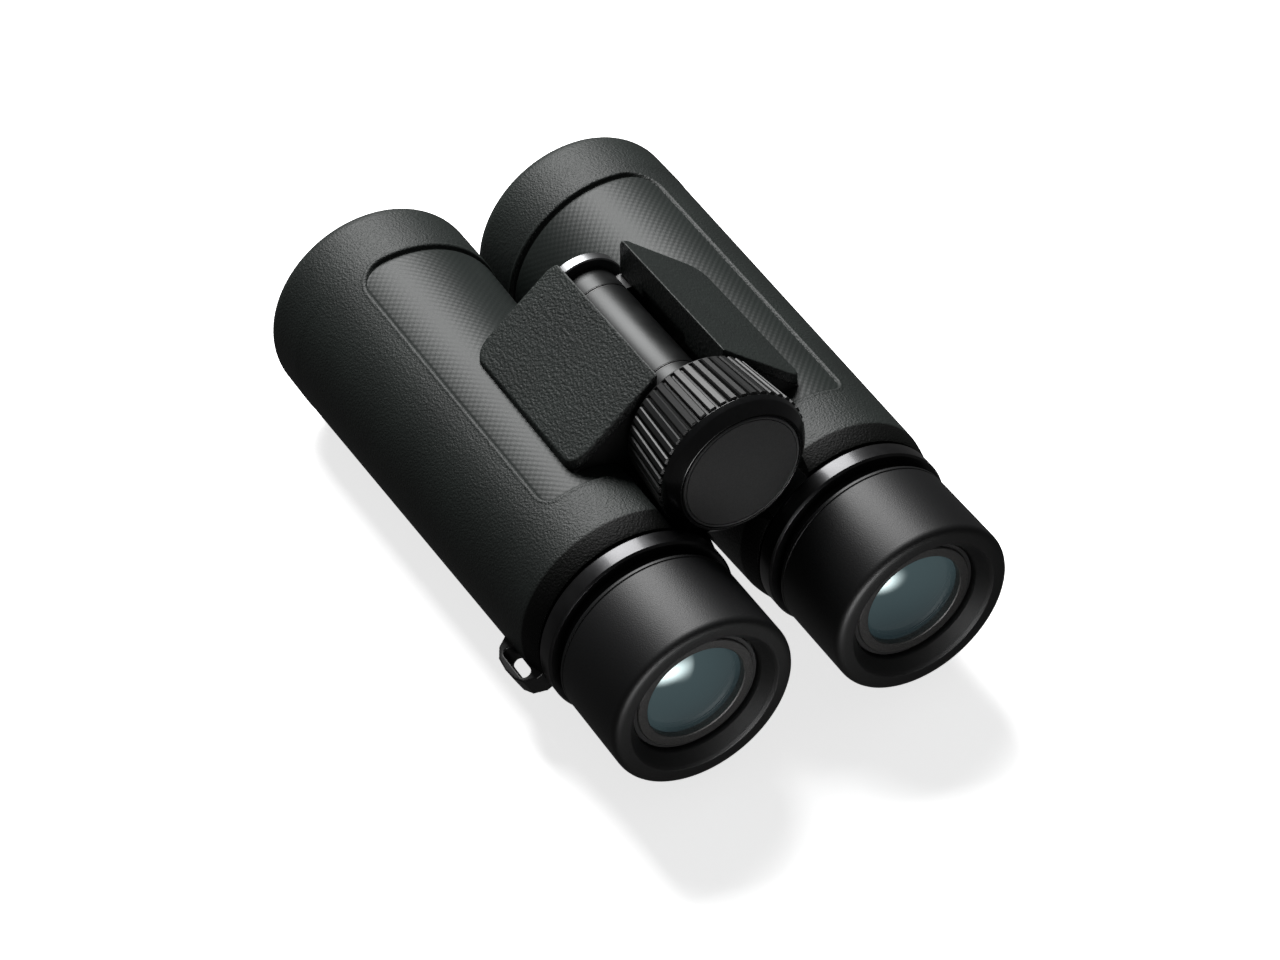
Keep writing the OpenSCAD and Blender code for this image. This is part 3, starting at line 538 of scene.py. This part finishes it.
def rib_tree(rib):
    """Node tree: copies of one rib round the Y axis, joined to the piece they grow on."""
    tree = bpy.data.node_groups.new("ribs_round_axis", "GeometryNodeTree")
    tree.interface.new_socket("Geometry", in_out="INPUT", socket_type="NodeSocketGeometry")
    count = tree.interface.new_socket("Rib count", in_out="INPUT", socket_type="NodeSocketInt")
    radius = tree.interface.new_socket("Foot radius", in_out="INPUT", socket_type="NodeSocketFloat")
    finish = tree.interface.new_socket("Finish", in_out="INPUT", socket_type="NodeSocketMaterial")
    tree.interface.new_socket("Geometry", in_out="OUTPUT", socket_type="NodeSocketGeometry")
    given = add(tree, "NodeGroupInput")
    one = add(tree, "GeometryNodeObjectInfo", values={"Object": rib})
    points = add(tree, "GeometryNodePoints", {"Count": given.outputs["Rib count"]})
    number = add(tree, "GeometryNodeInputIndex")
    share = add(tree, "ShaderNodeMath", {0: number.outputs["Index"], 1: given.outputs["Rib count"]},
                operation="DIVIDE")
    angle = add(tree, "ShaderNodeMath", {0: share.outputs["Value"]}, {1: 2 * math.pi},
                operation="MULTIPLY")
    turn = add(tree, "ShaderNodeCombineXYZ", {"Y": angle.outputs["Value"]})
    sine = add(tree, "ShaderNodeMath", {0: angle.outputs["Value"]}, operation="SINE")
    cosine = add(tree, "ShaderNodeMath", {0: angle.outputs["Value"]}, operation="COSINE")
    out_x = add(tree, "ShaderNodeMath", {0: sine.outputs["Value"], 1: given.outputs["Foot radius"]},
                operation="MULTIPLY")
    out_z = add(tree, "ShaderNodeMath", {0: cosine.outputs["Value"], 1: given.outputs["Foot radius"]},
                operation="MULTIPLY")
    place = add(tree, "ShaderNodeCombineXYZ", {"X": out_x.outputs["Value"], "Z": out_z.outputs["Value"]})
    moved = add(tree, "GeometryNodeSetPosition",
                {"Geometry": points.outputs["Points"], "Position": place.outputs["Vector"]})
    spread = add(tree, "GeometryNodeInstanceOnPoints",
                 {"Points": moved.outputs["Geometry"], "Instance": one.outputs["Geometry"],
                  "Rotation": turn.outputs["Vector"]})
    joined = add(tree, "GeometryNodeJoinGeometry")
    tree.links.new(spread.outputs["Instances"], joined.inputs["Geometry"])
    tree.links.new(given.outputs["Geometry"], joined.inputs["Geometry"])
    real = add(tree, "GeometryNodeRealizeInstances", {"Geometry": joined.outputs["Geometry"]})
    painted = add(tree, "GeometryNodeSetMaterial",
                  {"Geometry": real.outputs["Geometry"], "Material": given.outputs["Finish"]})
    add(tree, "NodeGroupOutput", {"Geometry": painted.outputs["Geometry"]})
    return tree, {"count": count.identifier, "radius": radius.identifier, "finish": finish.identifier}


# %% Grow the ribs on the grip ring and place the wheel
WHEEL_Y, GRIP_INSET, RING_SEGMENTS = 33.0, 4.05, 126
rib = bpy.data.objects.new("one_rib", rib_mesh())
tree, sockets = rib_tree(rib)
base_profile = softened([
    (GRIP_INNER_R, 0.0, 0), (17.75, 0.0, 0.2), (17.95, 0.5, 0.1), (16.35, 17.2, 0.2),
    (16.9, 17.6, 0.15), (16.7, 17.95, 0.15), (GRIP_INNER_R, 17.95, 0),
])
# The ring is made about the world's own axis, so that the ribs can be set round it there
base = turned_mesh("grip_ring", [(r, y - REAR_Y) for r, y in base_profile], 0, 0,
                   RING_SEGMENTS)
base.materials.append(grip_rubber)
grower = bpy.data.objects.new("grip_ring", base)
bpy.context.scene.collection.objects.link(grower)
modifier = grower.modifiers.new("ribs", "NODES")
modifier.node_group = tree
modifier[sockets["count"]] = RIB_COUNT
modifier[sockets["radius"]] = RIB_FOOT_R * MM
modifier[sockets["finish"]] = grip_rubber
evaluated = grower.evaluated_get(bpy.context.evaluated_depsgraph_get())
ribbed = bpy.data.meshes.new_from_object(evaluated)
grower.modifiers.clear()
bpy.data.objects.remove(grower)
bpy.data.objects.remove(rib)
for vertex in ribbed.vertices:
    vertex.co += Vector((0, station(WHEEL_Y + GRIP_INSET), HINGE_Z * MM))
smooth_by_angle(ribbed, 25)
finished(ribbed, "wheel_ribbed_grip", grip_rubber, "focus_wheel", ["wheel_grip"])
print("grip ring has", len(ribbed.polygons), "faces")

# %% [markdown]
# ## Hub and cap of the wheel
# The hub shows as a smooth bevel between the ribs and the cap. The cap is a flat disc let into
# the hub, with a fine groove round its edge. Lettering is left off.
# %% Turn the hub and the cap
hub_profile = softened([
    (3.6, WHEEL_Y + 1.9, 0), (15.35, WHEEL_Y + 1.9, 0), (15.4, WHEEL_Y + 0.15, 0.1),
    (16.05, WHEEL_Y + 0.05, 0.35), (18.3, WHEEL_Y + 2.5, 0.8), (18.85, WHEEL_Y + 4.0, 0.15),
    (15.0, WHEEL_Y + 4.0, 0), (15.0, WHEEL_Y + 22, 0), (9.4, WHEEL_Y + 22, 0),
    (9.4, WHEEL_Y + 17.3, 0), (2.02, WHEEL_Y + 17.3, 0), (2.02, WHEEL_Y + 3.5, 0),
    (3.6, WHEEL_Y + 3.5, 0),
])
cap_profile = softened([
    (0, WHEEL_Y + 0.1, 0), (14.35, WHEEL_Y + 0.1, 0), (14.5, WHEEL_Y + 0.35, 0.05),
    (14.65, WHEEL_Y + 0.1, 0), (15.05, WHEEL_Y + 0.02, 0.12), (15.28, WHEEL_Y + 0.3, 0.08),
    (15.28, WHEEL_Y + 1.85, 0), (0, WHEEL_Y + 1.85, 0),
])
finished(turned_mesh("wheel_glossy_hub", hub_profile, 0, HINGE_Z, 160), "wheel_glossy_hub",
         hub_gloss, "focus_wheel", ["wheel_core"])
finished(turned_mesh("wheel_cap_disc", cap_profile, 0, HINGE_Z, 160), "wheel_cap_disc",
         disc_paint, "focus_wheel", ["wheel_cap"])

# %% [markdown]
# ## Rubber armour
# The armour is one moulding over the barrel. It is drawn as a fine sheet of points round the
# axis: every row has a radius from the barrel's profile, and the panel's recess, with its
# sloping wall, is pressed into the rows by a distance to the panel's rounded outline. The
# spacing is fine where the outline runs and coarse elsewhere.
# %% Profile and outline of the armour
LIP_START, LIP_END, GROOVE_Y, PANEL_Y = 33.2, 39.4, 145.2, 52.0
FLAT_R = 26.6
FRONT_CORNER, REAR_CORNER, RECESS_DEPTH = 8.0, 4.0, 1.15
EDGE_OUTER, EDGE_INNER = FLAT_R * math.radians(116), FLAT_R * math.radians(-26)


def armour_radius(y):
    """The armour widens gently towards the front."""
    return 25.4 + 2.4 * (y - 38.2) / 106.8


def from_outline(s, y):
    """Distance outside the panel's outline, in mm; below 0 inside. s runs round the barrel."""
    low, high = np.array([EDGE_INNER, PANEL_Y]), np.array([EDGE_OUTER, GROOVE_Y])
    corner = FRONT_CORNER if y > 100 else REAR_CORNER
    q = np.abs(np.array([s, y]) - (low + high) / 2) - (high - low) / 2 + corner
    return float(np.linalg.norm(np.maximum(q, 0)) + min(max(q[0], q[1]), 0) - corner)


def steps_between(stops):
    """Positions from a list of (start, end, spacing) stretches."""
    out = []
    for start, end, spacing in stops:
        count = max(1, round(abs(end - start) / spacing))
        out += [start + (end - start) * k / count for k in range(count)]
    return out + [stops[-1][1]]


def armour_rows():
    """(radius, y) down the outside, from the rear lip over the bumper to its inner edge."""
    rows = [(23.75, LIP_START), (24.0, 33.3), (24.25, 33.8), (24.55, 34.8), (24.85, 35.9), (25.1, 37.0),
            (25.26, 37.9), (25.36, 38.6), (25.43, 39.2)]
    stretches = [(LIP_END + 0.6, 50.5, 1.0), (50.5, 58.0, 0.3), (58.0, 135.5, 1.6),
                 (135.5, 144.2, 0.35), (144.2, 146.4, 0.16)]
    rows += [(armour_radius(y), y) for y in steps_between(stretches)]
    rows += [(27.95, 147.4), (28.0, 149.0), (28.0, 152.5), (28.0, 156.0)]
    for k in range(13):
        a = math.radians(90 * k / 12)
        rows.append((22.6 + 5.4 * math.cos(a), 159.6 + 5.38 * math.sin(a)))
    return rows + [(22.35, 164.95), (22.1, 164.7), (22.1, 164.3), (22.4, 162.1)]


def recess(s, y):
    """How far the surface is pressed in at a point: a flat floor with a sloping wall."""
    inside = -from_outline(s, y)
    wall = min(max(inside / 0.8, 0.0), 1.0)
    bead = 0.12 * math.exp(-((inside + 0.4) / 0.3) ** 2)
    return RECESS_DEPTH * wall * wall * (3 - 2 * wall) - bead


# %% Helpers that close the skin and cut it
WHEEL_RELIEF_R, RELIEF_START, RELIEF_END = 20.1, 31.0, 56.2


def sheet_of(name, rows_of_points):
    """Closed skin from a grid of points that is a ring in both directions."""
    shape = bmesh.new()
    grid = [[shape.verts.new(p) for p in row] for row in rows_of_points]
    for i in range(len(grid)):
        for k in range(len(grid[0])):
            a, b = grid[i], grid[(i + 1) % len(grid)]
            n = (k + 1) % len(grid[0])
            shape.faces.new((a[k], a[n], b[n], b[k]))
    bmesh.ops.recalc_face_normals(shape, faces=shape.faces)
    mesh = bpy.data.meshes.new(name)
    shape.to_mesh(mesh)
    shape.free()
    return mesh


def cleared_for_wheel(mesh, name):
    """The mesh with the wheel's round relief cut out of it."""
    cylinder = [(0, RELIEF_START), (WHEEL_RELIEF_R, RELIEF_START),
                (WHEEL_RELIEF_R, RELIEF_END), (0, RELIEF_END)]
    cutter_mesh = turned_mesh("relief", cylinder, 0, HINGE_Z, 128)
    cutter = bpy.data.objects.new("relief", cutter_mesh)
    piece = bpy.data.objects.new("uncut", mesh)
    for o in (cutter, piece):
        bpy.context.scene.collection.objects.link(o)
    cut = piece.modifiers.new("relief", "BOOLEAN")
    cut.operation, cut.object, cut.solver = "DIFFERENCE", cutter, "EXACT"
    result = bpy.data.meshes.new_from_object(piece.evaluated_get(bpy.context.evaluated_depsgraph_get()))
    result.name = name
    bpy.data.objects.remove(piece)
    bpy.data.objects.remove(cutter)
    return result


# %% Build the armour on both barrels
# The inside of the skin, from the bumper back to the rear lip
INSIDE = ((24.25, 162.05), (24.25, 58.0), (23.35, 57.0), (23.35, LIP_START))
columns = steps_between([
    (EDGE_INNER - 6, EDGE_INNER + 5, 0.5), (EDGE_INNER + 5, EDGE_OUTER - 9, 1.4),
    (EDGE_OUTER - 9, EDGE_OUTER + 1.6, 0.3),
    (EDGE_OUTER + 1.6, EDGE_INNER - 6 + 2 * math.pi * FLAT_R, 1.4)])[:-1]
for side in SIDES:
    rows = []
    for radius, y in armour_rows():
        ring = []
        for s in columns:
            r = radius - (recess(s, y) if PANEL_Y - 2 < y < GROOVE_Y + 1.5 else 0)
            ring.append(in_frame(side, r * math.cos(s / FLAT_R), y, r * math.sin(s / FLAT_R)))
        rows.append(ring)
    for radius, y in INSIDE:
        rows.append([in_frame(side, radius * math.cos(s / FLAT_R), y, radius * math.sin(s / FLAT_R))
                     for s in columns])
    mesh = cleared_for_wheel(sheet_of("armour", rows), f"armour_{side}_moulding")
    smooth_by_angle(mesh, 40)
    finished(mesh, f"armour_{side}_moulding", armour_rubber, BODY[side], [f"armour_{side}"])
    print(side, "armour has", len(mesh.polygons), "faces")

# %% [markdown]
# ## Diamond panels
# A separate strip of rubber lies in each recess. Its low rounded diamonds repeat every 1.9 mm
# round the barrel and along it, in staggered rows, so their height is a product of two
# cosines. Points beyond the rounded corners are drawn in onto the outline.
# %% Build the panels
AROUND, ALONG, RELIEF = 0.95, 0.95, 0.1
FRONT_GAP, EDGE_GAP = 1.5, 0.12


def panel_rows(side):
    """Top rows of the panel and the matching bottom rows, in the frame."""
    low, high = (EDGE_INNER + EDGE_GAP, PANEL_Y + EDGE_GAP), (EDGE_OUTER - EDGE_GAP, GROOVE_Y - FRONT_GAP)
    tops, bottoms = [], []
    for y0 in steps_between([(low[1], high[1], ALONG / 2)]):
        top, bottom = [], []
        for s0 in steps_between([(low[0], high[0], AROUND / 2)]):
            s, y = s0, y0
            corner = FRONT_CORNER - 1.4 if y0 > 100 else REAR_CORNER - 0.6
            cs = min(max(s0, low[0] + corner), high[0] - corner)
            cy = min(max(y0, low[1] + corner), high[1] - corner)
            out = math.hypot(s0 - cs, y0 - cy)
            if out > corner and s0 != cs and y0 != cy:
                s, y = cs + (s0 - cs) * corner / out, cy + (y0 - cy) * corner / out
            edge = min(s - low[0], high[0] - s, y - low[1], high[1] - y)
            fade = min(max(edge / 0.5, 0.0), 1.0)
            bump = RELIEF * math.cos(math.pi * s / AROUND) * math.cos(math.pi * y / ALONG)
            r = armour_radius(y) - 0.5 + bump * fade - 0.12 * (1 - fade)
            a = s / FLAT_R
            top.append(in_frame(side, r * math.cos(a), y, r * math.sin(a)))
            r = armour_radius(y) - 1.3
            bottom.append(in_frame(side, r * math.cos(a), y, r * math.sin(a)))
        tops.append(top)
        bottoms.append(bottom)
    return tops, bottoms


def strip_of(name, tops, bottoms):
    """Closed strip between two matching open grids."""
    shape = bmesh.new()
    up = [[shape.verts.new(p) for p in row] for row in tops]
    down = [[shape.verts.new(p) for p in row] for row in bottoms]
    rows, columns_ = len(up), len(up[0])
    for i in range(rows - 1):
        for k in range(columns_ - 1):
            shape.faces.new((up[i][k], up[i][k + 1], up[i + 1][k + 1], up[i + 1][k]))
            shape.faces.new((down[i][k], down[i + 1][k], down[i + 1][k + 1], down[i][k + 1]))
    border = [(0, k) for k in range(columns_ - 1)] + [(i, columns_ - 1) for i in range(rows - 1)]
    border += [(rows - 1, k) for k in range(columns_ - 1, 0, -1)] + [(i, 0) for i in range(rows - 1, 0, -1)]
    for (i, k), (m, n) in zip(border, border[1:] + border[:1]):
        shape.faces.new((up[i][k], down[i][k], down[m][n], up[m][n]))
    bmesh.ops.remove_doubles(shape, verts=shape.verts, dist=0.02 * MM)
    bmesh.ops.recalc_face_normals(shape, faces=shape.faces)
    mesh = bpy.data.meshes.new(name)
    shape.to_mesh(mesh)
    shape.free()
    return mesh


for side in SIDES:
    mesh = cleared_for_wheel(strip_of("panel", *panel_rows(side)), f"grip_panel_{side}_diamonds")
    smooth_by_angle(mesh, 50)
    finished(mesh, f"grip_panel_{side}_diamonds", panel_rubber, BODY[side],
             [f"grip_panel_{side}"])
    print(side, "panel has", len(mesh.polygons), "faces")

# %% [markdown]
# ## Wing covers and strap lugs
# Both come from the CAD shape with its edges worn round, as a moulding has them. A voxel
# remesh gives an even skin, and a little smoothing rounds its edges. Only the edges change
# visibly, because smoothing leaves the middle of a flat face where it is.
# %% Round the edges of moulded parts


def worn_round(node, name, voxel_mm, rounds):
    """A copy of a CAD part as an even skin with softly rounded edges."""
    mesh = frame["nodes"][node].data.copy()
    mesh.name = name
    shape = bmesh.new()
    shape.from_mesh(mesh)
    bmesh.ops.remove_doubles(shape, verts=shape.verts, dist=0.002 * MM)
    shape.to_mesh(mesh)
    shape.free()
    piece = bpy.data.objects.new(name, mesh)
    bpy.context.scene.collection.objects.link(piece)
    remesh = piece.modifiers.new("skin", "REMESH")
    remesh.mode, remesh.voxel_size = "VOXEL", voxel_mm * MM
    smooth = piece.modifiers.new("smooth", "SMOOTH")
    smooth.factor, smooth.iterations = 0.5, rounds
    result = bpy.data.meshes.new_from_object(piece.evaluated_get(bpy.context.evaluated_depsgraph_get()))
    bpy.data.objects.remove(piece)
    smooth_by_angle(result, 60)
    return result


for side in SIDES:
    mesh = worn_round(f"wing_cover_{side}", f"wing_{side}_moulding", 0.35, 3)
    finished(mesh, f"wing_{side}_moulding", wing_rubber, BODY[side],
             [f"wing_cover_{side}"])
    print(side, "wing has", len(mesh.polygons), "faces")
    mesh = worn_round(f"strap_lug_{side}", f"strap_lug_{side}_moulding", 0.22, 4)
    finished(mesh, f"strap_lug_{side}_moulding", lug_plastic, BODY[side],
             [f"strap_lug_{side}"])

# %% [markdown]
# ## Floor and light
# The table glows by itself, so it stays near white under a dim lamp. One wide soft box, high
# and beyond the objectives, lights the tops of the barrels and leaves the surfaces that face
# the camera dark, which shows the shape. Each eye lens reflects a small lit card that stands
# behind its eyecup, a little to the left, and fades towards its edges. The table is kept out
# of bounced light and out of reflections, because a white table this close would light the
# undersides and flatten the dark rubber.
# %% The table
REACH, FLOOR_GLOW, PAPER_GRAIN = 6.0, 0.75, 900.0
floor_material, tree = blank("pale_paper_floor")
where = add(tree, "ShaderNodeTexCoord").outputs["Object"]
fibre = add(tree, "ShaderNodeTexNoise", {"Vector": where}, {"Scale": PAPER_GRAIN, "Detail": 2.0})
shader = add(tree, "ShaderNodeBsdfPrincipled", {
    "Base Color": two_tone(tree, fibre.outputs["Fac"], "#f4f4f4", "#f8f8f8"),
}, {"Roughness": 0.9, "Specular IOR Level": 0.1,
    "Emission Color": linear("#ffffff"), "Emission Strength": FLOOR_GLOW})
add(tree, "ShaderNodeOutputMaterial", {"Surface": shader.outputs["BSDF"]})
floor_mesh = bpy.data.meshes.new("floor")
floor_mesh.from_pydata([(-REACH, -REACH, 0), (REACH, -REACH, 0), (REACH, REACH, 0), (-REACH, REACH, 0)],
                       [], [(0, 1, 2, 3)])
floor_mesh.materials.append(floor_material)
floor = bpy.data.objects.new("floor", floor_mesh)
bpy.context.scene.collection.objects.link(floor)
floor.visible_diffuse = floor.visible_glossy = False
print("table reaches", REACH, "m each way")

# %% A lamp helper


def soft_box(name, place, target, width, height, power):
    """A rectangular lamp that faces a target; its own shape is hidden from the camera."""
    lamp = bpy.data.lights.new(name, "AREA")
    lamp.shape, lamp.size, lamp.size_y, lamp.energy = "RECTANGLE", width, height, power
    holder = bpy.data.objects.new(name, lamp)
    holder.location = place
    holder.rotation_mode = "QUATERNION"
    holder.rotation_quaternion = (Vector(target) - Vector(place)).to_track_quat("-Z", "Y")
    holder.visible_camera = False
    bpy.context.scene.collection.objects.link(holder)
    return holder


# %% The soft box and the cards
# Places and sizes in metres, power in watts
MIDDLE, BOX_PLACE, BOX_WIDTH, BOX_HEIGHT, BOX_POWER = (0, 0, 0.035), (0.12, 0.66, 0.86), 0.6, 0.5, 22
CARD_OFFSET, CARD_WIDTH, CARD_HEIGHT, CARD_POWER = Vector((-0.026, -0.085, 0.002)), 0.15, 0.07, 0.16
CARD_SPREAD, FADE_END = math.radians(75), 0.42
ROOM_LIGHT = 0.08
soft_box("high_front_box", BOX_PLACE, MIDDLE, BOX_WIDTH, BOX_HEIGHT, BOX_POWER)
for side in SIDES:
    eye = Vector((SIDES[side] * BARREL_X, REAR_Y + 6, BARREL_Z)) * MM
    card = soft_box(f"low_card_{side}", eye + CARD_OFFSET, eye, CARD_WIDTH, CARD_HEIGHT, CARD_POWER)
    card.visible_diffuse = False
    card.data.spread = CARD_SPREAD
    card.data.use_nodes = True
    tree = card.data.node_tree
    emission = tree.nodes["Emission"]
    across = add(tree, "ShaderNodeNewGeometry").outputs["Parametric"]
    away = add(tree, "ShaderNodeVectorMath", {0: across}, {1: (0.5, 0.5, 0.0)}, operation="DISTANCE")
    fade = add(tree, "ShaderNodeMapRange", {"Value": away.outputs["Value"]},
               {"From Min": 0.0, "From Max": FADE_END, "To Min": 0.8, "To Max": 0.0},
               interpolation_type="SMOOTHSTEP")
    tree.links.new(fade.outputs["Result"], emission.inputs["Strength"])
world = bpy.data.worlds.new("studio")
world.use_nodes = True
world.node_tree.nodes["Background"].inputs["Color"].default_value = (1, 1, 1, 1)
world.node_tree.nodes["Background"].inputs["Strength"].default_value = ROOM_LIGHT
bpy.context.scene.world = world
bpy.context.scene.view_settings.view_transform = "Standard"
print("one soft box and", len(SIDES), "cards lit")
